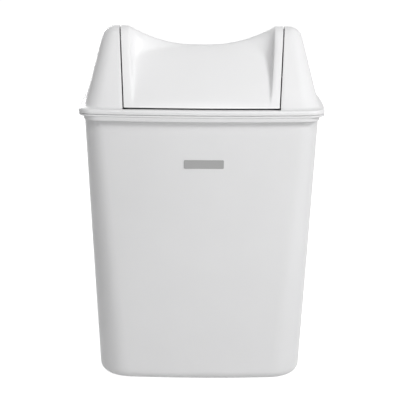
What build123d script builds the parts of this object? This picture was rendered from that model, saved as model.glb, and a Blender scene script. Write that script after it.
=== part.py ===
from build123d import *
import math
import os

# An eight litre sanitary bin: a tapered bucket, a lift-off hood with two hollow
# cheeks, and a saddle-shaped flap that swings both ways between the cheeks.
# Units are millimetres. X runs across the front, Y goes from front to back and
# Z is up. The origin is on the floor under the middle of the bin.

# Overall size, and the levels where the pieces meet
TOTAL_HEIGHT = 387.5
WALL = 2.2
LIP_TOP_Z = 307.4
LIP_BOTTOM_Z = 302.0
RIM_TOP_Z = LIP_TOP_Z - WALL
FLANGE_TOP_Z = 301.7
FLANGE_BOTTOM_Z = 299.6
BAND_BOTTOM_Z = 295.2

# Plan of the hood's lip, which every other outline follows
LIP_HALF_WIDTH = 132.0
LIP_HALF_DEPTH = 78.0
LIP_CORNER = 18.0
FLANGE_SETBACK = 0.2
BAND_HALF_WIDTH = 126.6
BAND_HALF_DEPTH = 77.4
BOW_RADIUS = 1000.0
SIDE_BOW_RADIUS = 800.0
LIP_ROUND = 2.2
EDGE_ROUND = 1.2
FLANGE_ROUND = 0.7

# Bucket: half sizes on the floor, and how fast they grow with height
FOOT_HALF_WIDTH = 111.8
FOOT_HALF_DEPTH = 54.0
WIDTH_DRAFT = 0.0468
DEPTH_DRAFT = 0.0588
FOOT_CORNER = 36.0
MOUTH_CORNER = 23.0
FOOT_ROUND = 10.0
FOOT_RING_WIDTH = 16.0
FOOT_RECESS = 2.5

# Hood: a tent with a round ridge, closed by two leaning sides
HOOD_HALF_WIDTH = 125.3
HOOD_HALF_DEPTH = 71.0
HOOD_SIDE_LEAN = 0.245
HOOD_SIDE_ROUND = 15.0
RIDGE_RADIUS = 20.0
SKIRT_BOTTOM_Z = 291.0
SKIRT_PLAY = 0.4
SKIRT_THICKNESS = 1.8
WEB_INNER_X = 91.2
WEB_THICKNESS = 2.0
WEB_BOTTOM_Z = 297.0
SOCKET_RADIUS = 9.0
SOCKET_LENGTH = 4.0

# Flap: its sides spread towards the ridge, and a saddle is sunk into it
FLAP_GAP = 1.4
FLAP_BOTTOM_Z = LIP_TOP_Z + FLAP_GAP
FLAP_HALF_WIDTH = 81.6
FLAP_SPREAD = 0.077
SADDLE_HALF_WIDTH = 80.7
SADDLE_NARROWING = 0.1
SADDLE_TOP_Z = 367.6
SADDLE_RIDGE_ROUND = 6.0
SADDLE_SLOPE = 0.9567
SADDLE_END_Y = 64.0
SADDLE_END_BLEND = 6.0
SADDLE_WALL_FOOT = 9.0
SADDLE_WALL_RIDGE = 71.0
SADDLE_WALL_FADE = 11.0
FLANGE_DEPTH = 8.0
GUSSET_INNER_X = 78.5
GUSSET_THICKNESS = 2.0
GUSSET_BOTTOM_Z = 352.0

# Swing: the axis runs along X through the middle of the ridge arc
PIVOT_Z = TOTAL_HEIGHT - RIDGE_RADIUS
SWING_LIMIT = 50.0
SWING_RELIEF = 1.3
STOP_RADIUS = 3.0
STOP_PLAY = 0.3
STOP_TIP_X = 81.6
PIN_RADIUS = 4.0
PIN_HEAD_RADIUS = 7.0
PIN_HEAD_LENGTH = 2.0
PIN_END_X = 98.0
PIN_PLAY = 0.06
BUSH_RADIUS = 6.5
BUSH_FLANGE_RADIUS = 9.0
BUSH_FLANGE_LENGTH = 1.4
BOSS_RADIUS = 8.0
BOSS_OUTER_X = 89.4

# Bag ring that holds the liner inside the mouth
RING_BOTTOM_Z = 276.2
RING_TOP_Z = 289.4
RING_PLAY = 0.8
RING_THICKNESS = 2.0
RING_FLANGE = 3.5
LEDGE_X = 60.0
LEDGE_LENGTH = 20.0
LEDGE_DEPTH = 2.6
LEDGE_HEIGHT = 5.0

# Blank name plate on the front
PLATE_WIDTH = 42.2
PLATE_HEIGHT = 9.4
PLATE_THICKNESS = 0.5
PLATE_X = 2.8
PLATE_Z = 248.8


def plan(half_width, half_depth, corner, z):
    """A rounded rectangle at height z, whose front and back bow outwards."""
    bow_y = BOW_RADIUS - half_depth
    bow_x = SIDE_BOW_RADIUS - half_width
    apart = math.hypot(bow_x, bow_y)
    along = ((BOW_RADIUS - corner) ** 2 - (SIDE_BOW_RADIUS - corner) ** 2 + apart**2) / (2 * apart)
    across = math.sqrt((BOW_RADIUS - corner) ** 2 - along**2)
    centre_x = (across * bow_y - along * bow_x) / apart
    centre_y = (along * bow_y + across * bow_x) / apart - bow_y
    front_lean = math.atan2(centre_x, bow_y + centre_y)
    side_lean = math.atan2(centre_x + bow_x, centre_y)
    front = (0, half_depth)
    side = (half_width, 0)

    def on_corner(lean):
        return (centre_x + corner * math.sin(lean), centre_y + corner * math.cos(lean))

    tangent = on_corner(front_lean)
    middle = on_corner((front_lean + side_lean) / 2)
    shoulder = on_corner(side_lean)

    def at(point, sign_x, sign_y):
        return (sign_x * point[0], sign_y * point[1], z)

    edges = [
        ThreePointArc(at(tangent, -1, 1), at(front, 1, 1), at(tangent, 1, 1)),
        ThreePointArc(at(tangent, 1, 1), at(middle, 1, 1), at(shoulder, 1, 1)),
        ThreePointArc(at(shoulder, 1, 1), at(side, 1, 1), at(shoulder, 1, -1)),
        ThreePointArc(at(shoulder, 1, -1), at(middle, 1, -1), at(tangent, 1, -1)),
        ThreePointArc(at(tangent, 1, -1), at(front, 1, -1), at(tangent, -1, -1)),
        ThreePointArc(at(tangent, -1, -1), at(middle, -1, -1), at(shoulder, -1, -1)),
        ThreePointArc(at(shoulder, -1, -1), at(side, -1, 1), at(shoulder, -1, 1)),
        ThreePointArc(at(shoulder, -1, 1), at(middle, -1, 1), at(tangent, -1, 1)),
    ]
    return Face(Wire(edges))


def lip_column(inset, bottom_z, top_z):
    """A straight-sided solid on the lip's plan, set in by the given amount."""
    outline = plan(LIP_HALF_WIDTH - inset, LIP_HALF_DEPTH - inset, LIP_CORNER - inset, bottom_z)
    return extrude(outline, top_z - bottom_z, dir=(0, 0, 1))


def bucket_form(inset, bottom_z, top_z):
    """The bucket's tapered form between two levels, set in from its outer wall."""
    sections = []
    for z in (bottom_z, top_z):
        corner = FOOT_CORNER + (MOUTH_CORNER - FOOT_CORNER) * z / RIM_TOP_Z
        half_width = FOOT_HALF_WIDTH + WIDTH_DRAFT * z
        half_depth = FOOT_HALF_DEPTH + DEPTH_DRAFT * z
        sections.append(plan(half_width - inset, half_depth - inset, corner - inset, z))
    return loft(sections, ruled=True)


def round_level(solid, z, radius):
    """Round every edge of a solid that lies at one level."""
    level = [
        edge
        for edge in solid.edges()
        if abs(edge.bounding_box().min.Z - z) < 0.01 and abs(edge.bounding_box().max.Z - z) < 0.01
    ]
    return fillet(level, radius)


def x_cylinder(radius, start_x, end_x, z=PIVOT_Z):
    """A round bar along X at the given height."""
    plane = Plane((start_x, 0, z), x_dir=(0, 1, 0), z_dir=(1, 0, 0))
    return plane * Cylinder(radius, end_x - start_x, align=(Align.CENTER, Align.CENTER, Align.MIN))


def slab(low, high):
    """A box from its low corner to its high corner."""
    size = [b - a for a, b in zip(low, high)]
    middle = [(a + b) / 2 for a, b in zip(low, high)]
    return Pos(*middle) * Box(*size)


def with_mirror(solid):
    """A solid joined by its mirror image across the middle of the bin."""
    return [solid, mirror(solid, about=Plane.YZ)]


def tent_profile(x, inset, bottom_z):
    """Foot, shoulder and radius of the hood's side view at one station along X."""
    base = HOOD_HALF_DEPTH - x**2 / (2 * BOW_RADIUS)
    drop = PIVOT_Z - LIP_TOP_Z
    normal = math.acos(RIDGE_RADIUS / math.hypot(base, drop)) - math.atan2(drop, base)
    radius = RIDGE_RADIUS - inset
    shoulder = (radius * math.cos(normal), PIVOT_Z + radius * math.sin(normal))
    foot = (shoulder[0] + (shoulder[1] - bottom_z) * math.tan(normal), bottom_z)
    return foot, shoulder, radius


def tent_form(inset, bottom_z):
    """The tent that the hood and the flap share, set in by the given amount."""
    sections = []
    for x in (-LIP_HALF_WIDTH, 0, LIP_HALF_WIDTH):
        foot, shoulder, radius = tent_profile(x, inset, bottom_z)
        front = Line((x, -foot[0], foot[1]), (x, -shoulder[0], shoulder[1]))
        ridge = ThreePointArc(
            (x, -shoulder[0], shoulder[1]),
            (x, 0, PIVOT_Z + radius),
            (x, shoulder[0], shoulder[1]),
        )
        back = Line((x, shoulder[0], shoulder[1]), (x, foot[0], foot[1]))
        base = Line((x, foot[0], foot[1]), (x, -foot[0], foot[1]))
        sections.append(Face(Wire([front, ridge, back, base])))
    return loft(sections)


def wedge(half_width, spread, bottom_z, top_z):
    """A block whose two ends lean apart by the given spread per unit of height."""
    top_half = half_width + spread * (top_z - bottom_z)
    outline = Polyline(
        (-half_width, 0, bottom_z),
        (half_width, 0, bottom_z),
        (top_half, 0, top_z),
        (-top_half, 0, top_z),
        close=True,
    )
    return extrude(Face(Wire(outline.edges())), LIP_HALF_DEPTH + 20, dir=(0, 1, 0), both=True)


def hood_form(inset):
    """The hood's outer form above the lip, or the same form set in by a wall."""
    side = HOOD_HALF_WIDTH - inset * math.hypot(1, HOOD_SIDE_LEAN)
    ends = wedge(side, -HOOD_SIDE_LEAN, LIP_TOP_Z, TOTAL_HEIGHT + 1)
    form = tent_form(inset, LIP_TOP_Z) & ends
    rims = [
        edge
        for edge in form.edges()
        if abs(edge.center().X) > FLAP_HALF_WIDTH and edge.bounding_box().max.Z > LIP_TOP_Z + 1
    ]
    return fillet(rims, HOOD_SIDE_ROUND - inset)


def flap_form(inset, side_inset, bottom_z):
    """The flap's tent between its two spreading ends."""
    half_width = FLAP_HALF_WIDTH - side_inset + FLAP_SPREAD * (bottom_z - FLAP_BOTTOM_Z)
    return tent_form(inset, bottom_z) & wedge(half_width, FLAP_SPREAD, bottom_z, TOTAL_HEIGHT + 1)


def tent_height(x, y):
    """Height of the tent's outer surface."""
    foot, shoulder, radius = tent_profile(x, 0, LIP_TOP_Z)
    if abs(y) < shoulder[0]:
        return PIVOT_Z + math.sqrt(radius**2 - y**2)
    slope = (shoulder[1] - foot[1]) / (foot[0] - shoulder[0])
    return shoulder[1] - slope * (abs(y) - shoulder[0])


def saddle_section(y, grow):
    """The saddle's cross-section at one station along Y, closed above the ridge."""
    away = abs(y)
    half_width = SADDLE_HALF_WIDTH - SADDLE_NARROWING * away + grow
    floor = SADDLE_TOP_Z + SADDLE_RIDGE_ROUND - math.hypot(SADDLE_RIDGE_ROUND, SADDLE_SLOPE * y)
    depth = tent_height(0, y) - floor
    left_to_end = min(1, (SADDLE_END_Y - away) / SADDLE_END_BLEND)
    depth *= 1 - (1 - left_to_end) ** 2
    fade = math.exp(-((away / SADDLE_WALL_FADE) ** 2))
    wall = SADDLE_WALL_FOOT + (SADDLE_WALL_RIDGE - SADDLE_WALL_FOOT) * fade
    power = 3 - fade
    below = grow * math.hypot(1, SADDLE_SLOPE)
    flat = half_width - wall
    stations = [half_width - wall * share for share in (0, 0.05, 0.12, 0.25, 0.45, 0.7, 0.9, 1)]
    stations += [flat * 0.75, flat * 0.4, 0]
    points = [(half_width + 1, y, tent_height(half_width, y) - below + power * depth / wall)]
    for x in stations:
        sunk = 1 - max(0, 1 - (half_width - x) / wall) ** power
        points.append((x, y, tent_height(x, y) - below - depth * sunk))
    left = [(-x, y, z) for x, y, z in points[:-1]]
    curve = Spline(left + points[::-1])
    ceiling = TOTAL_HEIGHT + 10
    reach = points[0][0]
    edges = [
        curve,
        Line(points[0], (reach, y, ceiling)),
        Line((reach, y, ceiling), (-reach, y, ceiling)),
        Line((-reach, y, ceiling), left[0]),
    ]
    return Face(Wire(edges))


def saddle_cutter(grow):
    """Everything above the saddle's floor, grown by a wall for the underside."""
    stations = [2, 4, 6, 8, 10.5, 13, 16, 20, 25, 33, 45, 58, 59.7, 61.5, 63.1, 66]
    stations = [-y for y in reversed(stations)] + [0] + stations
    return loft([saddle_section(y, grow) for y in stations], ruled=True)


def bin_body():
    """The bucket: tapered walls, a flanged rim, a foot ring and the bag ring's ledges."""
    form = round_level(bucket_form(0, 0, RIM_TOP_Z), 0, FOOT_ROUND)
    flange = lip_column(FLANGE_SETBACK, FLANGE_BOTTOM_Z, FLANGE_TOP_Z)
    flange = round_level(flange, FLANGE_TOP_Z, FLANGE_ROUND)
    flange = round_level(flange, FLANGE_BOTTOM_Z, FLANGE_ROUND)
    band = plan(BAND_HALF_WIDTH, BAND_HALF_DEPTH, LIP_CORNER, BAND_BOTTOM_Z)
    band = extrude(band, FLANGE_TOP_Z - BAND_BOTTOM_Z - FLANGE_ROUND, dir=(0, 0, 1))
    band = round_level(band, BAND_BOTTOM_Z, FLANGE_ROUND)
    floor_z = FOOT_RECESS + WALL
    hollow = round_level(bucket_form(WALL, floor_z, RIM_TOP_Z + 1), floor_z, FOOT_ROUND - WALL)
    body = form + flange + band - hollow
    recess = plan(
        FOOT_HALF_WIDTH - FOOT_RING_WIDTH,
        FOOT_HALF_DEPTH - FOOT_RING_WIDTH,
        FOOT_CORNER - FOOT_RING_WIDTH,
        0,
    )
    body -= extrude(recess, FOOT_RECESS, dir=(0, 0, 1))
    wall_y = FOOT_HALF_DEPTH + DEPTH_DRAFT * RING_BOTTOM_Z - WALL - LEDGE_X**2 / (2 * BOW_RADIUS)
    for side in (-1, 1):
        for x in (-LEDGE_X, LEDGE_X):
            start = x - LEDGE_LENGTH / 2
            outline = Polyline(
                (start, side * (wall_y + 1), RING_BOTTOM_Z),
                (start, side * (wall_y - LEDGE_DEPTH), RING_BOTTOM_Z),
                (start, side * (wall_y + 1), RING_BOTTOM_Z - LEDGE_HEIGHT),
                close=True,
            )
            body += extrude(Face(Wire(outline.edges())), LEDGE_LENGTH, dir=(1, 0, 0))
    return body


def bag_ring():
    """The frame that traps the liner's edge against the wall of the mouth."""
    outer_inset = WALL + RING_PLAY
    inner_inset = outer_inset + RING_THICKNESS
    ring = bucket_form(outer_inset, RING_BOTTOM_Z, RING_TOP_Z)
    ring -= bucket_form(inner_inset, RING_BOTTOM_Z - 1, RING_TOP_Z - RING_THICKNESS)
    ring -= bucket_form(inner_inset + RING_FLANGE, RING_BOTTOM_Z - 1, RING_TOP_Z + 1)
    return ring


def swing_relief():
    """Room that the flap's lower edge sweeps through, inside the hood's sill."""
    half = FLAP_HALF_WIDTH + FLAP_GAP
    sections = []
    for x in (-half, 0, half):
        foot = tent_profile(x, 0, FLAP_BOTTOM_Z)[0]
        radius = math.hypot(foot[0], PIVOT_Z - FLAP_BOTTOM_Z) + SWING_RELIEF
        plane = Plane((x, 0, PIVOT_Z), x_dir=(0, 1, 0), z_dir=(1, 0, 0))
        sections.append(plane * Circle(radius))
    return loft(sections) & slab((-half, -90, 200), (half, 90, LIP_TOP_Z + 0.1))


def hood_shell():
    """The hood: lip, locating skirt, leaning sides, and webs that carry the flap."""
    lip = round_level(lip_column(0, LIP_BOTTOM_Z, LIP_TOP_Z), LIP_TOP_Z, LIP_ROUND)
    lip = round_level(lip, LIP_BOTTOM_Z, EDGE_ROUND)
    lip -= lip_column(WALL, LIP_BOTTOM_Z - 1, LIP_TOP_Z - WALL)
    outer_inset = WALL + SKIRT_PLAY
    inner_inset = outer_inset + SKIRT_THICKNESS
    skirt = bucket_form(outer_inset, SKIRT_BOTTOM_Z, LIP_TOP_Z - WALL / 2)
    shell = hood_form(0) + lip + skirt - hood_form(WALL)
    shell -= bucket_form(inner_inset, SKIRT_BOTTOM_Z - 1, LIP_TOP_Z + 0.1)

    web_outer_x = WEB_INNER_X + WEB_THICKNESS
    web_space = tent_form(WALL / 2, LIP_TOP_Z) + bucket_form(
        outer_inset + SKIRT_THICKNESS / 2, WEB_BOTTOM_Z, LIP_TOP_Z
    )
    web = web_space & slab((WEB_INNER_X, -80, WEB_BOTTOM_Z), (web_outer_x, 80, TOTAL_HEIGHT))
    web += x_cylinder(SOCKET_RADIUS, WEB_INNER_X, web_outer_x + SOCKET_LENGTH)
    web -= x_cylinder(BUSH_RADIUS, WEB_INNER_X - 1, web_outer_x + SOCKET_LENGTH + 1)
    shoulder = tent_profile(STOP_TIP_X, 0, LIP_TOP_Z)[1]
    turn = math.radians(SWING_LIMIT) - math.atan2(shoulder[1] - PIVOT_Z, shoulder[0])
    drop = (RIDGE_RADIUS - FLANGE_DEPTH - STOP_RADIUS - STOP_PLAY) / math.sin(turn)
    web += x_cylinder(STOP_RADIUS, STOP_TIP_X, web_outer_x, PIVOT_Z - drop)
    for piece in with_mirror(web):
        shell += piece

    half = FLAP_HALF_WIDTH + FLAP_GAP - FLAP_SPREAD * FLAP_GAP
    opening = wedge(half, FLAP_SPREAD, LIP_TOP_Z, TOTAL_HEIGHT + 1)
    opening &= tent_form(-1, LIP_TOP_Z) - tent_form(WALL + 1, LIP_TOP_Z - 1)
    return shell - opening - swing_relief()


def swing_flap():
    """The flap: a tent with a saddle in it, thin flanges, and a boss at each end."""
    below = FLAP_BOTTOM_Z - 1
    hollow = flap_form(WALL, WALL, below) + flap_form(FLANGE_DEPTH, -1, below)
    hollow -= saddle_cutter(WALL)
    saddle = saddle_cutter(0)
    flap = flap_form(0, 0, FLAP_BOTTOM_Z) - saddle - hollow
    gusset_outer_x = GUSSET_INNER_X + GUSSET_THICKNESS
    gusset = tent_form(WALL / 2, GUSSET_BOTTOM_Z) & slab(
        (GUSSET_INNER_X, -60, GUSSET_BOTTOM_Z), (gusset_outer_x, 60, TOTAL_HEIGHT)
    )
    gusset += x_cylinder(BOSS_RADIUS, GUSSET_INNER_X, BOSS_OUTER_X)
    gusset -= x_cylinder(PIN_RADIUS, GUSSET_INNER_X - 1, BOSS_OUTER_X + 1)
    gusset -= saddle
    for piece in with_mirror(gusset):
        flap += piece
    return flap


def pivot_pin():
    """The right-hand pin: its head sits inside the flap and its shank runs in the bush."""
    shank = x_cylinder(PIN_RADIUS, GUSSET_INNER_X - 0.5, PIN_END_X)
    tip = [edge for edge in shank.edges() if edge.center().X > PIN_END_X - 0.01]
    shank = chamfer(tip, 0.8)
    head = x_cylinder(PIN_HEAD_RADIUS, GUSSET_INNER_X - PIN_HEAD_LENGTH, GUSSET_INNER_X)
    return shank + head


def pivot_bush():
    """The right-hand bush, pressed into the hood's web from the flap's side."""
    end_x = WEB_INNER_X + WEB_THICKNESS + SOCKET_LENGTH
    bush = x_cylinder(BUSH_RADIUS, WEB_INNER_X - 0.5, end_x)
    bush += x_cylinder(BUSH_FLANGE_RADIUS, WEB_INNER_X - BUSH_FLANGE_LENGTH, WEB_INNER_X)
    return bush - x_cylinder(PIN_RADIUS + PIN_PLAY, WEB_INNER_X - 5, end_x + 1)


def badge_plate():
    """The blank plate, bent to the bucket's front wall."""
    block = slab(
        (PLATE_X - PLATE_WIDTH / 2, -90, PLATE_Z - PLATE_HEIGHT / 2),
        (PLATE_X + PLATE_WIDTH / 2, 0, PLATE_Z + PLATE_HEIGHT / 2),
    )
    block = fillet(block.edges().filter_by(Axis.Y), EDGE_ROUND)
    skin = bucket_form(-PLATE_THICKNESS, 0, RIM_TOP_Z) - bucket_form(0, 0, RIM_TOP_Z)
    return skin & block


def save(name, shape):
    """Write one node's single solid."""
    solids = shape.solids()
    print(name, len(solids), shape.is_valid, round(solids[0].volume / 1000, 2), "cm3")
    export_step(solids[0], f"parts/{name}.step")


os.makedirs("parts", exist_ok=True)
save("bin_body", bin_body())
save("bag_ring", bag_ring())
save("badge_plate", badge_plate())
save("hood_shell", hood_shell())
save("swing_flap", swing_flap())
for kind, make in (("pivot_pin", pivot_pin), ("pivot_bush", pivot_bush)):
    right, left = with_mirror(make())
    save(f"right_{kind}", right)
    save(f"left_{kind}", left)
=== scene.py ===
# %% [markdown]
# # A white sanitary bin with a swing lid
# The bin stands in a washroom cubicle. It is four white mouldings: a tapered
# bucket, a loose hood with two hollow cheeks, a saddle-shaped flap that swings
# between the cheeks, and a ring inside that holds the liner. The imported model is
# loaded first, because everything here is placed around it.

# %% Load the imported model
import math

import bmesh
import bpy
from mathutils import Matrix, Vector


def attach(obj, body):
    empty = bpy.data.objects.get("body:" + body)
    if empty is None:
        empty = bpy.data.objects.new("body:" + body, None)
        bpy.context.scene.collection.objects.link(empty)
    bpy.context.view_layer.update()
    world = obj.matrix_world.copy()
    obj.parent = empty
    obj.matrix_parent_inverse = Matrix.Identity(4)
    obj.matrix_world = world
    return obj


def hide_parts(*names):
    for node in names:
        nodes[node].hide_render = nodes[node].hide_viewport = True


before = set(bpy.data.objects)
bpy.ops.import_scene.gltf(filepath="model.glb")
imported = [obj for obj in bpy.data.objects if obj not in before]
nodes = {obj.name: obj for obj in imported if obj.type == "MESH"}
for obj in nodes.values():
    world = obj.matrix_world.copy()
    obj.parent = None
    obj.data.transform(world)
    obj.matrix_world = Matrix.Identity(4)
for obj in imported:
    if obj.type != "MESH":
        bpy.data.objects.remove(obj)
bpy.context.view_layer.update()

scene = bpy.context.scene

# %% [markdown]
# ## The camera
# The photograph looks straight at the front from a little above the hood, from
# about a metre and a half away. A long lens at that distance gives the slight
# narrowing towards the floor that the picture shows. The picture is also turned by
# half a degree, so the camera is rolled by as much.

# %% Camera
LENS = 117.46
CAMERA_PLACE = (-0.00622, -1.41686, 0.53883)
CAMERA_PITCH = 0.23912
CAMERA_TURN = -0.00384
CAMERA_ROLL = 0.0078

camera_data = bpy.data.cameras.new("camera")
camera_data.lens = LENS
camera_data.sensor_width = 36
camera = bpy.data.objects.new("camera", camera_data)
camera.location = CAMERA_PLACE
turn = Matrix.Rotation(CAMERA_TURN, 3, "Z")
tilt = Matrix.Rotation(math.pi / 2 - CAMERA_PITCH, 3, "X")
roll = Matrix.Rotation(CAMERA_ROLL, 3, "Z")
camera.rotation_euler = (turn @ tilt @ roll).to_euler()
scene.collection.objects.link(camera)
scene.camera = camera
print("camera at", tuple(round(v, 3) for v in camera.location))

# %% [markdown]
# ## Moulded plastic
# All four mouldings are polypropylene. It is never one flat tone: the surface has
# a very fine orange peel from the tool, the gloss drifts a little where the melt
# cooled unevenly, and the colour shifts by a hair. One node group makes all three,
# and each material sets its own amounts.

# %% The node group for a moulded surface


def add_node(tree, kind, place, **settings):
    """A node at a place in the tree, with its settings made."""
    node = tree.nodes.new(kind)
    node.location = place
    for key, value in settings.items():
        setattr(node, key, value)
    return node


def noise_at(tree, vector, scale, detail, place):
    """Noise that is fixed to the piece."""
    noise = add_node(tree, "ShaderNodeTexNoise", place)
    noise.inputs["Scale"].default_value = scale
    noise.inputs["Detail"].default_value = detail
    tree.links.new(vector, noise.inputs["Vector"])
    return noise.outputs["Fac"]


def spread(tree, value, low, high, place):
    """Noise spread between two limits, which may be sockets. Most of it lies near the middle."""
    node = add_node(tree, "ShaderNodeMapRange", place)
    node.inputs["From Min"].default_value = 0.3
    node.inputs["From Max"].default_value = 0.7
    tree.links.new(value, node.inputs["Value"])
    for name, limit in (("To Min", low), ("To Max", high)):
        if isinstance(limit, (int, float)):
            node.inputs[name].default_value = limit
        else:
            tree.links.new(limit, node.inputs[name])
    return node.outputs["Result"]


moulded = bpy.data.node_groups.new("moulded_surface", "ShaderNodeTree")
for name, kind, value in (
    ("Light Tone", "NodeSocketColor", (0.8, 0.8, 0.8, 1)),
    ("Dark Tone", "NodeSocketColor", (0.75, 0.75, 0.75, 1)),
    ("Glossy", "NodeSocketFloat", 0.3),
    ("Dull", "NodeSocketFloat", 0.4),
    ("Peel Scale", "NodeSocketFloat", 900.0),
):
    socket = moulded.interface.new_socket(name, in_out="INPUT", socket_type=kind)
    socket.default_value = value
for name, kind in (
    ("Color", "NodeSocketColor"),
    ("Roughness", "NodeSocketFloat"),
    ("Height", "NodeSocketFloat"),
):
    moulded.interface.new_socket(name, in_out="OUTPUT", socket_type=kind)

group_in = add_node(moulded, "NodeGroupInput", (-900, 0))
group_out = add_node(moulded, "NodeGroupOutput", (700, 0))
place = add_node(moulded, "ShaderNodeTexCoord", (-900, -300)).outputs["Object"]
cloud = noise_at(moulded, place, 9.0, 3.0, (-600, 200))
flow = noise_at(moulded, place, 38.0, 4.0, (-600, -50))
peel = add_node(moulded, "ShaderNodeTexNoise", (-600, -300))
peel.inputs["Detail"].default_value = 2.0
moulded.links.new(place, peel.inputs["Vector"])
moulded.links.new(group_in.outputs["Peel Scale"], peel.inputs["Scale"])
tone = add_node(moulded, "ShaderNodeMix", (300, 200), data_type="RGBA")
moulded.links.new(spread(moulded, cloud, 0.0, 1.0, (0, 200)), tone.inputs["Factor"])
moulded.links.new(group_in.outputs["Light Tone"], tone.inputs["A"])
moulded.links.new(group_in.outputs["Dark Tone"], tone.inputs["B"])
gloss = spread(moulded, flow, group_in.outputs["Glossy"], group_in.outputs["Dull"], (0, -50))
moulded.links.new(tone.outputs["Result"], group_out.inputs["Color"])
moulded.links.new(gloss, group_out.inputs["Roughness"])
moulded.links.new(peel.outputs["Fac"], group_out.inputs["Height"])
print("group", moulded.name, "with", len(moulded.nodes), "nodes")

# %% Plastics of the bin
PLASTIC_IOR = 1.49
PEEL_STRENGTH = 0.02
PEEL_HEIGHT = 0.0004


def plastic(name, light, dark, glossy, dull, peel_scale=900.0):
    """A moulded plastic between two tones and two amounts of gloss."""
    material = bpy.data.materials.new(name)
    material.use_nodes = True
    tree = material.node_tree
    shader = tree.nodes["Principled BSDF"]
    shader.inputs["IOR"].default_value = PLASTIC_IOR
    skin = add_node(tree, "ShaderNodeGroup", (-600, 200), node_tree=moulded)
    skin.inputs["Light Tone"].default_value = (*light, 1)
    skin.inputs["Dark Tone"].default_value = (*dark, 1)
    skin.inputs["Glossy"].default_value = glossy
    skin.inputs["Dull"].default_value = dull
    skin.inputs["Peel Scale"].default_value = peel_scale
    bump = add_node(tree, "ShaderNodeBump", (-250, -100))
    bump.inputs["Strength"].default_value = PEEL_STRENGTH
    bump.inputs["Distance"].default_value = PEEL_HEIGHT
    tree.links.new(skin.outputs["Color"], shader.inputs["Base Color"])
    tree.links.new(skin.outputs["Roughness"], shader.inputs["Roughness"])
    tree.links.new(skin.outputs["Height"], bump.inputs["Height"])
    tree.links.new(bump.outputs["Normal"], shader.inputs["Normal"])
    return material


# The hood and the flap are the same polypropylene as the bucket, but they are given lighter tones
# than it. That extra lightness is painted light: it stands in for the extra light that their
# upward-facing faces catch.
bucket_white = plastic("bucket_white", (0.785, 0.785, 0.79), (0.76, 0.76, 0.765), 0.34, 0.42)
hood_white_painted_lighter = plastic("hood_white_painted_lighter", (0.82, 0.82, 0.825), (0.80, 0.80, 0.805), 0.32, 0.40)
flap_white_painted_lighter = plastic("flap_white_painted_lighter", (0.855, 0.855, 0.86), (0.84, 0.84, 0.845), 0.30, 0.38)
ring_white = plastic("ring_white", (0.72, 0.72, 0.71), (0.68, 0.68, 0.67), 0.40, 0.50)
label_grey = plastic("label_grey", (0.40, 0.40, 0.40), (0.36, 0.36, 0.36), 0.28, 0.36, 1600.0)
pin_acetal = plastic("pin_acetal", (0.74, 0.74, 0.70), (0.70, 0.70, 0.66), 0.22, 0.30)
bush_nylon = plastic("bush_nylon", (0.16, 0.16, 0.17), (0.12, 0.12, 0.13), 0.34, 0.44)
plastics = (bucket_white, hood_white_painted_lighter, flap_white_painted_lighter, ring_white, label_grey, pin_acetal, bush_nylon)
print("plastics", [material.name for material in plastics])

# %% [markdown]
# ## The outline that every moulding follows
# Seen from above, the bin is a rounded rectangle whose four sides bow out slightly.
# The bucket and the hood are lofts of that outline: a ring of vertices is laid round
# it, extruded, and laid round the next outline.

# %% One quarter of the outline
BOW_RADIUS = 1000.0
SIDE_BOW_RADIUS = 800.0

# A quarter runs along half a side, round the corner, over the band of the face beside
# the flap's opening, and over the part of the face that the opening takes.
SIDE_STEPS = 4
CORNER_STEPS = 10
BAND_STEPS = 4
OPEN_STEPS = 8
QUARTER = SIDE_STEPS + CORNER_STEPS + BAND_STEPS + OPEN_STEPS


def quarter_point(step, half_width, half_depth, corner, bow, side_bow, cut):
    """A point of the first quarter, from the middle of the side to the middle of the face."""
    lean, side_lean = 0.0, 0.0
    centre_x, centre_y = half_width - corner, half_depth - corner
    for _ in range(4):
        tangent_x = centre_x + corner * math.sin(lean)
        tangent_y = centre_y + corner * math.sin(side_lean)
        lean = math.atan(bow * tangent_x / BOW_RADIUS)
        side_lean = math.atan(side_bow * tangent_y / SIDE_BOW_RADIUS)
        centre_x = half_width - side_bow * tangent_y**2 / (2 * SIDE_BOW_RADIUS)
        centre_x -= corner * math.cos(side_lean)
        centre_y = half_depth - bow * tangent_x**2 / (2 * BOW_RADIUS) - corner * math.cos(lean)
    if step <= SIDE_STEPS:
        y = tangent_y * step / SIDE_STEPS
        return half_width - side_bow * y**2 / (2 * SIDE_BOW_RADIUS), y
    step -= SIDE_STEPS
    if step < CORNER_STEPS:
        turn = side_lean + (math.pi / 2 - lean - side_lean) * step / CORNER_STEPS
        return centre_x + corner * math.cos(turn), centre_y + corner * math.sin(turn)
    step -= CORNER_STEPS
    if step <= BAND_STEPS:
        x = tangent_x + (cut - tangent_x) * step / BAND_STEPS
    else:
        x = cut * (1 - (step - BAND_STEPS) / OPEN_STEPS)
    return x, half_depth - bow * x**2 / (2 * BOW_RADIUS)


print("a quarter has", QUARTER, "steps")

# %% Rings round the outline


def lay_ring(ring, half_width, half_depth, corner, z, bow=1.0, side_bow=1.0, cut=75.0):
    """Lays a ring of vertices round one outline at height z."""
    for index, vert in enumerate(ring):
        quarter, step = divmod(index, QUARTER)
        if quarter % 2:
            step = QUARTER - step
        x, y = quarter_point(step, half_width, half_depth, corner, bow, side_bow, cut)
        vert.co = (x if quarter in (0, 3) else -x, y if quarter < 2 else -y, z)


def first_ring(bm, count=4 * QUARTER):
    """A closed ring of vertices, in order."""
    made = bmesh.ops.create_circle(bm, segments=count, radius=1.0)
    return sorted(made["verts"], key=lambda v: math.atan2(v.co.y, v.co.x) % (2 * math.pi))


def ring_edges(bm, ring):
    """The edges of a ring."""
    return [bm.edges.get((a, b)) for a, b in zip(ring, ring[1:] + ring[:1])]


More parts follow.
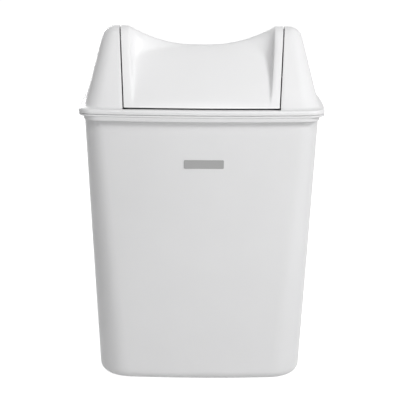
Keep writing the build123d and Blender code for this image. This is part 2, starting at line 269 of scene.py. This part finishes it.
def next_ring(bm, ring):
    """The ring extruded once, in the same order."""
    made = bmesh.ops.extrude_edge_only(bm, edges=ring_edges(bm, ring))["geom"]
    fresh = {v for v in made if isinstance(v, bmesh.types.BMVert)}
    return [next(e.other_vert(v) for e in v.link_edges if e.other_vert(v) in fresh) for v in ring]


def loft(bm, outlines):
    """Skins a list of outlines, and returns the rings."""
    rings = []
    for outline in outlines:
        rings.append(next_ring(bm, rings[-1]) if rings else first_ring(bm))
        lay_ring(rings[-1], **outline)
    return rings


print("a ring has", 4 * QUARTER, "vertices")

# %% Finish a piece
MM = 0.001
SHARP_TURN = math.radians(60)
CREASE_TURN = math.radians(38)
EDGE_BREAK = 0.3


def break_edges(bm):
    """Takes the sharpness off every edge that turns sharply."""
    sharp = [e for e in bm.edges if e.is_manifold and e.calc_face_angle() > SHARP_TURN]
    bmesh.ops.bevel(
        bm,
        geom=sharp,
        offset=EDGE_BREAK,
        offset_type="OFFSET",
        segments=2,
        profile=0.5,
        affect="EDGES",
        clamp_overlap=True,
        material=-1,
    )


def make_piece(name, bm, material, body, slot, *replaced):
    """Finishes a mesh drawn in millimetres as a piece that rides on a body."""
    bmesh.ops.recalc_face_normals(bm, faces=bm.faces)
    bmesh.ops.scale(bm, vec=(MM, MM, MM), verts=bm.verts)
    for face in bm.faces:
        face.smooth = True
    for edge in bm.edges:
        if len(edge.link_faces) == 2 and edge.calc_face_angle() > CREASE_TURN:
            edge.smooth = False
    open_edges = sum(not e.is_manifold for e in bm.edges)
    mesh = bpy.data.meshes.new(name)
    bm.to_mesh(mesh)
    bm.free()
    mesh.materials.append(material)
    piece = bpy.data.objects.new(name, mesh)
    scene.collection.objects.link(piece)
    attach(piece, body)
    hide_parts(*replaced)
    print(name, len(mesh.vertices), "vertices", len(mesh.polygons), "faces", open_edges, "open")


print("edges are broken by", EDGE_BREAK, "mm")

# %% [markdown]
# ## The bucket
# The real one comes out of a mould in one shot, so its walls lean outwards to
# release it, its floor is lifted on a foot ring, and a band round its mouth is
# thickened for stiffness. One loft does it: the outline travels from the floor
# inside, up the wall, over the band, down the outside and under the foot.

# %% The bucket's outlines
WALL = 2.2
LIP_TOP_Z = 307.4
LIP_BOTTOM_Z = 302.0
LIP_HALF_WIDTH = 132.0
LIP_HALF_DEPTH = 78.0
LIP_CORNER = 18.0
RIM_TOP_Z = LIP_TOP_Z - WALL
BAND_HALF_WIDTH = 126.6
BAND_HALF_DEPTH = 77.4
FOOT_HALF_WIDTH = 111.8
FOOT_HALF_DEPTH = 54.0
FOOT_CORNER = 36.0
MOUTH_CORNER = 23.0
WIDTH_DRAFT = 0.0468
DEPTH_DRAFT = 0.0588


def bucket_outline(inset, z):
    """The bucket's outer outline at height z, set in by some amount."""
    return {
        "half_width": FOOT_HALF_WIDTH + WIDTH_DRAFT * z - inset,
        "half_depth": FOOT_HALF_DEPTH + DEPTH_DRAFT * z - inset,
        "corner": FOOT_CORNER - (FOOT_CORNER - MOUTH_CORNER) * z / RIM_TOP_Z - inset,
        "z": z,
    }


def lip_outline(inset, z):
    """The hood's lip outline, set in by some amount."""
    return {
        "half_width": LIP_HALF_WIDTH - inset,
        "half_depth": LIP_HALF_DEPTH - inset,
        "corner": LIP_CORNER - inset,
        "z": z,
    }


def band_outline(inset, z):
    """The outline of the band under the flange, nearly flush with it in front only."""
    return {
        "half_width": BAND_HALF_WIDTH - inset,
        "half_depth": BAND_HALF_DEPTH - inset,
        "corner": LIP_CORNER - inset,
        "z": z,
    }


def arc(centre, radius, start, end, steps):
    """Points of an arc in degrees, as pairs of across and up."""
    for step in range(steps + 1):
        turn = math.radians(start + (end - start) * step / steps)
        yield centre[0] + radius * math.cos(turn), centre[1] + radius * math.sin(turn)


print("the mouth is", round(2 * bucket_outline(WALL, RIM_TOP_Z)["half_width"], 1), "mm wide")

# %% Loft the bucket
FLANGE_TOP_Z = 301.7
FLANGE_BOTTOM_Z = 299.6
FLANGE_INSET = 0.2
BAND_BOTTOM_Z = 295.2
BAND_ROUND = 0.7
BAND_FILLET = 0.1
RIM_BREAK = 0.4
FILLET = 0.3
FOOT_ROUND = 10.0
FOOT_RECESS = 2.5
INSIDE_LEVELS = (20, 60, 110, 160, 210, 250, 280, 296, RIM_TOP_Z - RIM_BREAK)
OUTSIDE_LEVELS = (288, 280, 250, 210, 160, 110, 60, 24, 14)

floor_z = FOOT_RECESS + WALL
inner_round = FOOT_ROUND - WALL
inner_centre = (WALL + inner_round, floor_z + inner_round)
flange_centre = -FLANGE_INSET - BAND_ROUND

# The floor inside, and up the wall to the rim.
outlines = [bucket_outline(24, floor_z)]
outlines += [bucket_outline(*point) for point in arc(inner_centre, inner_round, 270, 180, 7)]
outlines += [bucket_outline(WALL, z) for z in INSIDE_LEVELS]
outlines.append(bucket_outline(WALL - RIM_BREAK, RIM_TOP_Z))

# Over the rim, round the flange and round the band.
outlines.append(bucket_outline(RIM_BREAK, RIM_TOP_Z))
outlines.append(bucket_outline(0, RIM_TOP_Z - RIM_BREAK))
outlines.append(bucket_outline(0, FLANGE_TOP_Z + FILLET))
outlines.append(bucket_outline(-FILLET, FLANGE_TOP_Z))
for across, z in arc((flange_centre, FLANGE_TOP_Z - BAND_ROUND), BAND_ROUND, 90, 0, 4):
    outlines.append(lip_outline(-across, z))
for across, z in arc((flange_centre, FLANGE_BOTTOM_Z + BAND_ROUND), BAND_ROUND, 0, -90, 3):
    outlines.append(lip_outline(-across, z))
outlines.append(band_outline(-BAND_FILLET, FLANGE_BOTTOM_Z))
outlines.append(band_outline(0, FLANGE_BOTTOM_Z - BAND_FILLET))
for across, z in arc((-BAND_ROUND, BAND_BOTTOM_Z + BAND_ROUND), BAND_ROUND, 0, -90, 3):
    outlines.append(band_outline(-across, z))

# Down the outside, and under the foot ring.
outlines.append(bucket_outline(-FILLET, BAND_BOTTOM_Z))
outlines.append(bucket_outline(0, BAND_BOTTOM_Z - FILLET))
outlines += [bucket_outline(0, z) for z in OUTSIDE_LEVELS]
for across, z in arc((-FOOT_ROUND, FOOT_ROUND), FOOT_ROUND, 0, -90, 8):
    outlines.append(bucket_outline(-across, z))
for inset, z in ((15.6, 0), (16.0, 0.5), (16.4, FOOT_RECESS), (26, FOOT_RECESS)):
    outlines.append(bucket_outline(inset, z))

bm = bmesh.new()
rings = loft(bm, outlines)
for ring in (rings[0], rings[-1]):
    bmesh.ops.contextual_create(bm, geom=ring_edges(bm, ring))
print("bucket loft of", len(rings), "rings")

# %% [markdown]
# Four small ledges inside the mouth carry the bag ring. Each one is a block whose
# lower edge is pushed back into the wall.

# %% Ledges for the bag ring
LEDGE_TOP_Z = 276.2
LEDGE_MIDDLE = 60
LEDGE_LENGTH = 20.0
LEDGE_HEIGHT = 5.0
LEDGE_REACH = 2.6
LEDGE_ROOT = 0.9
LEDGE_HEEL = 0.4

wall_y = FOOT_HALF_DEPTH + DEPTH_DRAFT * LEDGE_TOP_Z - WALL - LEDGE_MIDDLE**2 / (2 * BOW_RADIUS)
for side in (-1, 1):
    for middle in (-LEDGE_MIDDLE, LEDGE_MIDDLE):
        block = bmesh.ops.create_cube(bm, size=1.0)["verts"]
        for vert in block:
            inwards = vert.co.y * side < 0
            low = vert.co.z < 0
            out = LEDGE_ROOT
            if inwards:
                out = LEDGE_HEEL if low else -LEDGE_REACH
            vert.co.x = middle + LEDGE_LENGTH * vert.co.x
            vert.co.y = side * (wall_y + out)
            vert.co.z = LEDGE_TOP_Z - LEDGE_HEIGHT * low
make_piece("bucket_moulding", bm, bucket_white, "bin", "bucket_plastic", "bin_body")

# %% [markdown]
# ## The hood
# The hood is a tent: its front and back lean together at a round ridge, and its
# ends lean in less. Its upright corners are rounder at the lip than at the ridge.
# The same loft runs down the outside, round the lip and the locating skirt, and
# up the inside. The faces where the flap sits are then taken out, and the outer
# and inner edges of that opening are bridged to give the wall its thickness.

# %% The hood's outlines
RIDGE_Z = 387.5
RIDGE_RADIUS = 20.0
PIVOT_Z = RIDGE_Z - RIDGE_RADIUS
TENT_HALF_DEPTH = 71.0
HOOD_HALF_WIDTH = 125.3
HOOD_CORNER = 22.0
RIDGE_CORNER = 13.0

# An end leans in by this much for each millimetre up, so its wall is a little thicker
# when measured level, and its round shoulder starts a little above the arc's centre.
END_LEAN = 0.245
END_SLANT = 1.03
END_RISE = 0.238
SHOULDER_RADIUS = 15.0
SHOULDER_X = 93.9
SHOULDER_Z = 372.5

FLAP_GAP = 1.4
FLAP_BOTTOM_Z = LIP_TOP_Z + FLAP_GAP
FLAP_HALF_WIDTH = 81.6
FLAP_SPREAD = 0.077


def tent_normal(x):
    """How far above level the tent's face points, at one station along X."""
    base = TENT_HALF_DEPTH - x**2 / (2 * BOW_RADIUS)
    drop = PIVOT_Z - LIP_TOP_Z
    return math.acos(RIDGE_RADIUS / math.hypot(base, drop)) - math.atan2(drop, base)


def flap_edge(z):
    """Half width of the flap at height z."""
    return FLAP_HALF_WIDTH + FLAP_SPREAD * (z - FLAP_BOTTOM_Z)


def hood_outline(inset, z):
    """The hood's outline at height z, where inset is the thickness of wall taken off."""
    normal = tent_normal(0)
    radius = RIDGE_RADIUS - inset
    shoulder_y = radius * math.cos(normal)
    shoulder_z = PIVOT_Z + radius * math.sin(normal)
    if z >= shoulder_z:
        half_depth = math.sqrt(max(0, radius**2 - (z - PIVOT_Z) ** 2))
    else:
        half_depth = shoulder_y + (shoulder_z - z) * math.tan(normal)
    half_width = HOOD_HALF_WIDTH - END_LEAN * (z - LIP_TOP_Z) - inset * END_SLANT
    end_radius = SHOULDER_RADIUS - inset
    if z > SHOULDER_Z + END_RISE * end_radius:
        half_width = SHOULDER_X + math.sqrt(max(0, end_radius**2 - (z - SHOULDER_Z) ** 2))
    share = (z - LIP_TOP_Z) / (RIDGE_Z - LIP_TOP_Z)
    corner = HOOD_CORNER - (HOOD_CORNER - RIDGE_CORNER) * share - inset * 0.8
    return {
        "half_width": half_width,
        "half_depth": half_depth,
        "corner": min(corner, half_depth * 0.97),
        "z": z,
        "bow": max(0, 1 - share),
        "side_bow": 0.0,
        "cut": flap_edge(z) + FLAP_GAP,
    }


print("the tent's faces point", round(math.degrees(tent_normal(0)), 1), "degrees above level")

# %% Loft the hood
RIDGE_STEPS = 10
FACE_STEPS = 8
FACE_END = 2.4

# The tent's foot flares into the lip: height above the lip, and how far out.
LIP_FLARE = ((1.2, 0.35), (0.4, 1.0), (0, 2.2))
LIP_TOP_ROUND = 2.2
LIP_LOW_ROUND = 1.2
SKIRT_OUTSIDE = 2.6
SKIRT_INSIDE = 4.4
SKIRT_BREAK = 0.4
SKIRT_BOTTOM_Z = 291.0


def tent_levels(inset):
    """Heights from the ridge down to the lip, close together where the ridge is round."""
    levels = []
    for step in range(RIDGE_STEPS + 1):
        turn = (math.pi / 2 - tent_normal(0)) * step / RIDGE_STEPS
        levels.append(PIVOT_Z + (RIDGE_RADIUS - inset) * math.cos(turn))
    top = levels[-1]
    fall = LIP_TOP_Z + FACE_END - top
    return levels + [top + fall * step / FACE_STEPS for step in range(1, FACE_STEPS + 1)]


outer = [hood_outline(0, z) for z in tent_levels(0)]
for rise, out in LIP_FLARE:
    foot = hood_outline(0, LIP_TOP_Z + rise)
    foot["half_width"] += out
    foot["half_depth"] += out
    outer.append(foot)
top_centre = (-LIP_TOP_ROUND, LIP_TOP_Z - LIP_TOP_ROUND)
low_centre = (-LIP_LOW_ROUND, LIP_BOTTOM_Z + LIP_LOW_ROUND)
lip = [lip_outline(-across, z) for across, z in arc(top_centre, LIP_TOP_ROUND, 90, 0, 6)]
lip += [lip_outline(-across, z) for across, z in arc(low_centre, LIP_LOW_ROUND, 0, -90, 3)]
lip += [lip_outline(WALL, z) for z in (LIP_BOTTOM_Z, RIM_TOP_Z)]
skirt = [bucket_outline(SKIRT_OUTSIDE, z) for z in (RIM_TOP_Z, 298, SKIRT_BOTTOM_Z + 0.5)]
skirt.append(bucket_outline(SKIRT_OUTSIDE + SKIRT_BREAK, SKIRT_BOTTOM_Z))
skirt.append(bucket_outline(SKIRT_INSIDE - SKIRT_BREAK, SKIRT_BOTTOM_Z))
skirt += [bucket_outline(SKIRT_INSIDE, z) for z in (SKIRT_BOTTOM_Z + 0.5, 298)]
inner = [hood_outline(WALL, z) for z in reversed(tent_levels(WALL))]
sill = bucket_outline(SKIRT_INSIDE, RIM_TOP_Z)
for outline in lip + skirt + [sill]:
    outline["cut"] = flap_edge(LIP_TOP_Z) + FLAP_GAP

bm = bmesh.new()
rings = loft(bm, outer + lip + skirt + [sill] + inner)
print("hood loft of", len(rings), "rings")

# %% Open the hood for the flap
SILL_OUTSIDE_Y = 70.2
SILL_INSIDE_Y = 68.2
sill_outside = len(outer) - 1
sill_inside = len(outer + lip + skirt)


def is_open(index):
    """Whether a vertex of a ring lies inside the flap's opening."""
    step = index % (2 * QUARTER)
    step = min(step, 2 * QUARTER - step)
    return step > QUARTER - OPEN_STEPS


for number, reach in ((sill_outside, SILL_OUTSIDE_Y), (sill_inside, SILL_INSIDE_Y)):
    for index, vert in enumerate(rings[number]):
        if is_open(index):
            depth = reach - vert.co.x**2 / (2 * BOW_RADIUS)
            vert.co.y = math.copysign(depth, vert.co.y)
tent_rings = rings[:sill_outside] + rings[sill_inside + 1:]
gone = {v for ring in tent_rings for index, v in enumerate(ring) if is_open(index)}
faces = [f for f in bm.faces if any(v in gone for v in f.verts)]
bmesh.ops.delete(bm, geom=faces, context="FACES")
bmesh.ops.remove_doubles(bm, verts=bm.verts, dist=0.005)
bmesh.ops.delete(bm, geom=[e for e in bm.edges if not e.link_faces], context="EDGES")
bmesh.ops.delete(bm, geom=[v for v in bm.verts if not v.link_edges], context="VERTS")
border = [e for e in bm.edges if e.is_boundary]
print("opening border", len(border), "edges")
bmesh.ops.bridge_loops(bm, edges=border)
break_edges(bm)
make_piece("hood_moulding", bm, hood_white_painted_lighter, "hood", "hood_plastic", "hood_shell")

# %% [markdown]
# ## The flap
# The flap continues the tent between the cheeks, with a saddle sunk into it. The
# saddle's floor runs along the ridge and down both faces. It falls less steeply than
# the faces do, so the saddle grows shallower and runs out just above the flap's lower
# edges. Its side walls are wide and soft at the ridge and narrow lower down. A grid
# is laid on that surface, its ends are turned down into flanges, and the sheet is
# given its thickness and cut level at the bottom.

# %% The tent's surface


def tent_height(x, y):
    """Height of the tent's outer surface."""
    normal = tent_normal(x)
    shoulder_y = RIDGE_RADIUS * math.cos(normal)
    if abs(y) < shoulder_y:
        return PIVOT_Z + math.sqrt(RIDGE_RADIUS**2 - y**2)
    return PIVOT_Z + RIDGE_RADIUS * math.sin(normal) - (abs(y) - shoulder_y) / math.tan(normal)


def tent_out(x, y):
    """The direction, across and up, that the tent's surface faces."""
    normal = tent_normal(x)
    if abs(y) < RIDGE_RADIUS * math.cos(normal):
        return y / RIDGE_RADIUS, math.sqrt(1 - (y / RIDGE_RADIUS) ** 2)
    return math.copysign(math.cos(normal), y), math.sin(normal)


print("the tent is", round(tent_height(0, 0), 1), "mm high at the ridge")

# %% The saddle's surface
SADDLE_TOP_Z = 367.6
SADDLE_ROUND = 6.0
SADDLE_SLOPE = 0.887
SADDLE_HALF_WIDTH = 79.4
SADDLE_NARROWING = 0.1
SADDLE_SOFTNESS = 0.8
SOFT_RIDGE_REACH = 11.0
WALL_FOOT = 3.4
WALL_PER_DEPTH = 0.24
WALL_AT_RIDGE = 62.0


def soft(distance):
    """A distance that fades to nothing over a millimetre instead of stopping at nought."""
    return (distance + math.hypot(distance, SADDLE_SOFTNESS)) / 2


def saddle_half_width(y):
    """Where the saddle's side wall starts."""
    return SADDLE_HALF_WIDTH - SADDLE_NARROWING * abs(y)


def ridge_share(y):
    """How much of the ridge's gentle form is left at some distance from it."""
    return math.exp(-((y / SOFT_RIDGE_REACH) ** 2))


def middle_depth(y):
    """How far the middle of the saddle is sunk below the tent."""
    floor_z = SADDLE_TOP_Z + SADDLE_ROUND - math.hypot(SADDLE_ROUND, SADDLE_SLOPE * y)
    return soft(tent_height(0, y) - floor_z)


def saddle_wall(y):
    """How wide the saddle's side wall is."""
    return WALL_FOOT + WALL_PER_DEPTH * middle_depth(y) + WALL_AT_RIDGE * ridge_share(y)


def saddle_depth(x, y):
    """How far the saddle is sunk below the tent at one point."""
    depth = middle_depth(y)
    to_side = soft(saddle_half_width(y) - abs(x)) / saddle_wall(y)
    return depth * (1 - max(0, 1 - to_side) ** (3 - ridge_share(y)))


print("saddle depths", [round(saddle_depth(0, y), 1) for y in (0, 20, 40, 60)])

# %% Lay the flap's sheet
# The lines of the grid lie close together where the surface bends. They follow the
# side wall, but never closer than this, so that the thickness does not fold over.
NARROWEST_WALL = 5.6
WALL_SHARES = (0.08, 0.16, 0.28, 0.42, 0.6, 0.8, 1.0)
ROWS = [0, 1.5, 3, 4.5, 6, 8, 10, 12, 14, 16.5, 19, 22, 26, 31, 37, 43, 48, 52, 55.5]
ROWS += [58, 60, 61.6, 63, 64.4, 66]
LAST_ROW_Y = 70.0
COLUMNS = 15


def sheet_columns(y):
    """Distances from the flap's middle to each line of the sheet, from the edge inwards."""
    edge = flap_edge(tent_height(83, y))
    start = saddle_half_width(y)
    wall = max(NARROWEST_WALL, saddle_wall(y))
    columns = [edge, edge - 0.6, (edge + start) / 2, start + 1.0, start + 0.3, start - 0.4]
    columns += [start - wall * share for share in WALL_SHARES]
    flat = start - wall
    return columns + [flat * 0.7, flat * 0.35, 0]


def sheet_point(column, row):
    """A point of the sheet, counted from its middle. The last row reaches below the cut."""
    low = abs(row) == len(ROWS)
    y = math.copysign(LAST_ROW_Y if low else ROWS[abs(row)], row)
    x = math.copysign(sheet_columns(y)[COLUMNS - abs(column)], column)
    if low:
        normal = tent_normal(x)
        drop = PIVOT_Z + RIDGE_RADIUS * math.sin(normal) - FLAP_BOTTOM_Z + 4
        y = math.copysign(RIDGE_RADIUS * math.cos(normal) + drop * math.tan(normal), row)
    return x, y, tent_height(x, y) - saddle_depth(x, y)


bm = bmesh.new()
half_rows = len(ROWS)
sheet = bmesh.ops.create_grid(bm, x_segments=2 * COLUMNS, y_segments=2 * half_rows, size=1.0)
for vert in sheet["verts"]:
    column = round(vert.co.x * COLUMNS)
    row = round(vert.co.y * half_rows)
    vert.co = sheet_point(column, row)
print("sheet of", len(bm.verts), "vertices")

# %% Turn the ends down and give the sheet its thickness
FLANGE_DEPTH = 8.0
END_X = 80.4
ends = [e for e in bm.edges if e.is_boundary and abs(e.verts[0].co.x - e.verts[1].co.x) < 3]
ends = [e for e in ends if all(abs(v.co.x) > END_X for v in e.verts)]
turned = bmesh.ops.extrude_edge_only(bm, edges=ends)["geom"]
for vert in turned:
    if isinstance(vert, bmesh.types.BMVert):
        x, y, z = vert.co
        across, up = tent_out(x, y)
        z -= FLANGE_DEPTH * up
        vert.co = (math.copysign(flap_edge(z), x), y - FLANGE_DEPTH * across, z)
bmesh.ops.recalc_face_normals(bm, faces=bm.faces)
if sum(f.normal.z for f in bm.faces) < 0:
    bmesh.ops.reverse_faces(bm, faces=bm.faces)
bmesh.ops.solidify(bm, geom=bm.faces[:], thickness=WALL)
heights = [v.co.z for v in bm.verts]
print("sheet from", round(min(heights), 2), "to", round(max(heights), 2))
everything = bm.verts[:] + bm.edges[:] + bm.faces[:]
bmesh.ops.bisect_plane(
    bm, geom=everything, plane_co=(0, 0, FLAP_BOTTOM_Z), plane_no=(0, 0, 1), clear_inner=True
)
bmesh.ops.holes_fill(bm, edges=[e for e in bm.edges if e.is_boundary], sides=0)
bmesh.ops.recalc_face_normals(bm, faces=bm.faces)
break_edges(bm)
make_piece("flap_panel", bm, flap_white_painted_lighter, "flap", "flap_plastic", "swing_flap")

# %% [markdown]
# ## Webs and gussets
# Two plates carry the swing at each side: a web inside the hood's cheek that holds
# the bush, and a gusset inside the flap that holds the pin. Both are the tent's
# profile with a hole on the axis and a collar round it. A ring runs from the hole
# to the collar and out to the profile, and extruding the faces gives the thickness.
# The web also has a short bar that the flap's flange stops against.

# %% A plate on the tent's profile
PROFILE_STEPS = 72
PROFILE_REACH = 66.0


def tent_reach(x, inset, bottom_z, turn):
    """How far the tent's profile lies from the axis in one direction."""
    normal = tent_normal(x)
    across, up = abs(math.cos(turn)), math.sin(turn)
    reach = RIDGE_RADIUS - inset
    if math.atan2(up, across) < normal:
        reach /= max(0.01, across * math.cos(normal) + up * math.sin(normal))
        reach = min(reach, PROFILE_REACH / max(0.01, across))
    return min(reach, (PIVOT_Z - bottom_z) / -up) if up < 0 else reach


def profile_plate(side, near, far, inset, bottom_z, hole, collar, collar_end):
    """A plate on the tent's profile with a collared hole on the axis, as a new mesh."""
    bm = bmesh.new()
    rings = [first_ring(bm, PROFILE_STEPS)]
    for _ in range(2):
        rings.append(next_ring(bm, rings[-1]))
    for number, ring in enumerate(rings):
        for index, vert in enumerate(ring):
            turn = 2 * math.pi * index / PROFILE_STEPS
            reach = (hole, collar, tent_reach(near, inset, bottom_z, turn))[number]
            vert.co = (side * near, reach * math.cos(turn), PIVOT_Z + reach * math.sin(turn))
    made = bmesh.ops.extrude_face_region(bm, geom=bm.faces[:])["geom"]
    moved = [v for v in made if isinstance(v, bmesh.types.BMVert)]
    bmesh.ops.translate(bm, vec=(side * (far - near), 0, 0), verts=moved)
    rim = []
    for face in made:
        if isinstance(face, bmesh.types.BMFace):
            reaches = [math.hypot(v.co.y, v.co.z - PIVOT_Z) for v in face.verts]
            if max(reaches) < collar + 0.1:
                rim.append(face)
    made = bmesh.ops.extrude_face_region(bm, geom=rim)["geom"]
    moved = [v for v in made if isinstance(v, bmesh.types.BMVert)]
    bmesh.ops.translate(bm, vec=(side * (collar_end - far), 0, 0), verts=moved)
    bmesh.ops.delete(bm, geom=rim, context="FACES")
    return bm


print("the tent's profile has", PROFILE_STEPS, "points")

# %% Webs, stop bars and gussets
SWING = math.radians(50)
STOP_RADIUS = 3.0
STOP_PLAY = 0.3
STOP_MIDDLE_X = 87.1
STOP_LENGTH = 11.0
WEB = {"near": 91.2, "far": 93.2, "inset": 1.1, "bottom_z": 297.0}
WEB_HOLE = {"hole": 6.5, "collar": 9.0, "collar_end": 97.2}
GUSSET = {"near": 78.5, "far": 80.5, "inset": 1.1, "bottom_z": 352.0}
GUSSET_HOLE = {"hole": 4.0, "collar": 8.0, "collar_end": 89.4}

stop_turn = SWING - tent_normal(FLAP_HALF_WIDTH)
flange_reach = RIDGE_RADIUS - FLANGE_DEPTH
stop_z = PIVOT_Z - (flange_reach - STOP_RADIUS - STOP_PLAY) / math.sin(stop_turn)
lie_down = Matrix.Rotation(math.pi / 2, 4, "Y")
for side, label in ((1, "right"), (-1, "left")):
    bm = profile_plate(side, **WEB, **WEB_HOLE)
    bmesh.ops.create_cone(
        bm,
        cap_ends=True,
        segments=32,
        radius1=STOP_RADIUS,
        radius2=STOP_RADIUS,
        depth=STOP_LENGTH,
        matrix=Matrix.Translation((side * STOP_MIDDLE_X, 0, stop_z)) @ lie_down,
    )
    break_edges(bm)
    make_piece(f"{label}_web", bm, hood_white_painted_lighter, "hood", "hood_plastic", "hood_shell")
    bm = profile_plate(side, **GUSSET, **GUSSET_HOLE)
    break_edges(bm)
    make_piece(f"{label}_gusset", bm, flap_white_painted_lighter, "flap", "flap_plastic", "swing_flap")
print("stop bars at height", round(stop_z, 1))

# %% [markdown]
# ## The plate
# A small plate is stuck to the front, following the wall's slight bow. Its outline
# is laid as a ring, carried out to the face, and turned in twice to leave a thin
# raised border round a blank field.

# %% Plate on the front
PLATE_MIDDLE = (2.8, 248.8)
PLATE_HALF_WIDTH = 21.1
PLATE_HALF_HEIGHT = 4.7
PLATE_CORNER = 1.2
PLATE_CORNER_STEPS = 5
SIGNS = ((1, 1), (-1, 1), (-1, -1), (1, -1))

# How far in from the outline, and how far proud of the wall.
PLATE_EDGE = ((0.0, 0.38), (0.04, 0.46), (0.12, 0.5))
PLATE_BORDER = ((0.7, 0.5), (0.8, 0.42), (0.85, 0.36))


def plate_ring(ring, inset, proud):
    """Lays a ring round the plate, set in from its outline and proud of the wall."""
    for index, vert in enumerate(ring):
        corner, step = divmod(index, PLATE_CORNER_STEPS)
        turn = math.pi / 2 * (corner + step / (PLATE_CORNER_STEPS - 1))
        out_x, out_z = SIGNS[corner]
        radius = max(0.3, PLATE_CORNER - inset)
        x = PLATE_MIDDLE[0] + out_x * (PLATE_HALF_WIDTH - inset - radius)
        z = PLATE_MIDDLE[1] + out_z * (PLATE_HALF_HEIGHT - inset - radius)
        x += radius * math.cos(turn)
        z += radius * math.sin(turn)
        wall_y = x**2 / (2 * BOW_RADIUS) - FOOT_HALF_DEPTH - DEPTH_DRAFT * z
        vert.co = (x, wall_y - proud, z)


bm = bmesh.new()
rings = [first_ring(bm, 4 * PLATE_CORNER_STEPS)]
plate_ring(rings[0], 0.0, 0.0)
for inset, proud in PLATE_EDGE + PLATE_BORDER:
    rings.append(next_ring(bm, rings[-1]))
    plate_ring(rings[-1], inset, proud)
for ring in (rings[0], rings[-1]):
    bmesh.ops.contextual_create(bm, geom=ring_edges(bm, ring))
make_piece("blank_plate", bm, label_grey, "bin", "plate_grey", "badge_plate")

# %% [markdown]
# ## Materials for the small moulded pieces
# The ring, pins and bushes have the right shape already, so they only get their
# plastics: white for the ring, cream for the pins and grey for the bushes.

# %% Dress the small pieces
for name, material in (
    ("bag_ring", ring_white),
    ("left_pivot_pin", pin_acetal),
    ("right_pivot_pin", pin_acetal),
    ("left_pivot_bush", bush_nylon),
    ("right_pivot_bush", bush_nylon),
):
    piece = nodes[name]
    piece.data.materials.clear()
    piece.data.materials.append(material)
    print(name, "is", material.name)

# %% [markdown]
# ## Floor and light
# The photograph is a plain studio shot. A pale floor runs back under the bin, and
# soft lamps light it mostly from the upper right, with one more for the back. The
# floor and the world are white only to rays that look at them, so they add little
# light to the plastic, and the floor keeps the bin's shadow.

# %% Rays that look at the background
LOOKING_RAYS = ("Is Camera Ray", "Is Glossy Ray", "Is Transmission Ray")


def looking_rays(tree):
    """One for rays from the camera, a gloss or glass, and nought for rays that carry light."""
    path = add_node(tree, "ShaderNodeLightPath", (-1200, -200))
    found = path.outputs[LOOKING_RAYS[0]]
    for number, name in enumerate(LOOKING_RAYS[1:]):
        either = add_node(tree, "ShaderNodeMath", (200 * number - 900, -200), operation="MAXIMUM")
        tree.links.new(found, either.inputs[0])
        tree.links.new(path.outputs[name], either.inputs[1])
        found = either.outputs[0]
    return found


print("the background is white to", LOOKING_RAYS)

# %% Floor
FLOOR_REACH = 6.0
FLOOR_TONE = 0.6
FLOOR_GLOW = 0.9

bm = bmesh.new()
bmesh.ops.create_grid(bm, x_segments=1, y_segments=1, size=FLOOR_REACH)
floor_mesh = bpy.data.meshes.new("floor")
bm.to_mesh(floor_mesh)
bm.free()
floor = bpy.data.objects.new("floor", floor_mesh)
scene.collection.objects.link(floor)
floor_white = bpy.data.materials.new("floor_white")
floor_white.use_nodes = True
tree = floor_white.node_tree
shader = tree.nodes["Principled BSDF"]
shader.inputs["Base Color"].default_value = (FLOOR_TONE, FLOOR_TONE, FLOOR_TONE, 1)
shader.inputs["Roughness"].default_value = 0.9
shader.inputs["Specular IOR Level"].default_value = 0.0
shader.inputs["Emission Color"].default_value = (1, 1, 1, 1)
glow = add_node(tree, "ShaderNodeMath", (-300, -200), operation="MULTIPLY")
glow.inputs[1].default_value = FLOOR_GLOW
tree.links.new(looking_rays(tree), glow.inputs[0])
tree.links.new(glow.outputs[0], shader.inputs["Emission Strength"])
floor_mesh.materials.append(floor_white)
print("floor reaches", FLOOR_REACH, "m each way")

# %% World
WORLD_LIGHT = 0.25
WORLD_WHITE = 1.0

world = bpy.data.worlds.new("studio")
world.use_nodes = True
scene.world = world
tree = world.node_tree
backdrop = tree.nodes["Background"]
backdrop.inputs["Color"].default_value = (1, 1, 1, 1)
level = add_node(tree, "ShaderNodeMapRange", (-300, 0))
level.inputs["To Min"].default_value = WORLD_LIGHT
level.inputs["To Max"].default_value = WORLD_WHITE
tree.links.new(looking_rays(tree), level.inputs["Value"])
tree.links.new(level.outputs["Result"], backdrop.inputs["Strength"])
print("world lights with", WORLD_LIGHT, "and shows", WORLD_WHITE)

# %% Lamps
LAMP_TARGET = Vector((0, 0, 0.2))


def lamp(name, place, size, power):
    """A square soft lamp that faces the bin."""
    data = bpy.data.lights.new(name, "AREA")
    data.size = size
    data.energy = power
    light = bpy.data.objects.new(name, data)
    light.location = place
    aim = LAMP_TARGET - light.location
    light.rotation_euler = aim.to_track_quat("-Z", "Y").to_euler()
    scene.collection.objects.link(light)
    print("lamp", name, "of", power, "W")


lamp("key", place=(1.68, -1.34, 1.67), size=0.7, power=24)
lamp("high_front", place=(0.3, -2.2, 2.2), size=1.0, power=23.5)
lamp("low_right", place=(1.3, -2.4, 0.8), size=1.0, power=13.5)
lamp("back", place=(-1.1, 2.5, 0.9), size=1.2, power=32)
scene.view_settings.view_transform = "Standard"
